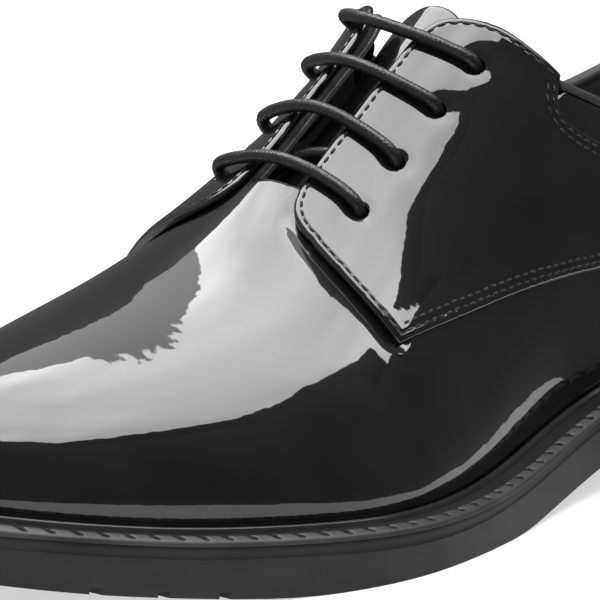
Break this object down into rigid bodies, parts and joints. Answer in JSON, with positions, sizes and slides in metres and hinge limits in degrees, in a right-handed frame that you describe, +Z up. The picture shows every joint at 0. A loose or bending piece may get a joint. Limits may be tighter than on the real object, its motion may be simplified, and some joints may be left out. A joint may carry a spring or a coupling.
{
  "type": "lace-up leather shoe",
  "caption": "Left plain-toe open-laced dress shoe in black patent leather with a notched welt, stacked heel, round lace and hinged tongue.",
  "frame": {"origin": "on the ground under the middle of the sole's length and width", "axes": "+X to the toe, +Y to the outer (lateral) side of the left foot, +Z up"},
  "size_m": [0.3018, 0.115, 0.1011],
  "materials": {
    "patent": "high-gloss patent",
    "binding": "soft matte",
    "lining": "matte lining leather",
    "textile_lining": "woven",
    "stiffener": "matte fibre sheet",
    "welt_rubber": "semi-matte",
    "midsole_rubber": "matte",
    "outsole_rubber": "matte",
    "heel_stack": "matte",
    "nail_steel": "drawn",
    "shank_steel": "rolled",
    "filler": "cork and rubber",
    "insole_fibre": "fibre board",
    "sock_leather": "smooth matte",
    "lace_cord": "waxed round braid",
    "aglet_tip": "smooth clear-coated film"
  },
  "bodies": {
    "shoe": {"backstay": "patent", "bottom_filler": "filler", "collar_binding": "binding", "heel_block": "heel_stack", "heel_counter": "stiffener", "heel_nails": "nail_steel", "heel_rand": "welt_rubber", "heel_top_lift": "outsole_rubber", "insole_board": "insole_fibre", "lace": "lace_cord", "lateral_aglet": "aglet_tip", "lateral_facing_stay": "stiffener", "lateral_heel_panel": "patent", "lateral_lace_tail": "lace_cord", "lateral_quarter": "patent", "lateral_quarter_lining": "lining", "medial_aglet": "aglet_tip", "medial_facing_stay": "stiffener", "medial_heel_panel": "patent", "medial_lace_tail": "lace_cord", "medial_quarter": "patent", "medial_quarter_lining": "lining", "midsole": "midsole_rubber", "outsole": "outsole_rubber", "shank": "shank_steel", "sock_liner": "sock_leather", "toe_puff": "stiffener", "vamp": "patent", "vamp_lining": "textile_lining", "welt": "welt_rubber"},
    "tongue": {"tongue": "patent", "tongue_lining": "lining"}
  },
  "joints": [
    {"name": "tongue_hinge", "type": "hinge", "parent": "shoe", "child": "tongue", "pos_m": [0.03822, -0.00068, 0.06265], "axis": [0, -1, 0], "range_deg": [0, 12]}
  ]
}
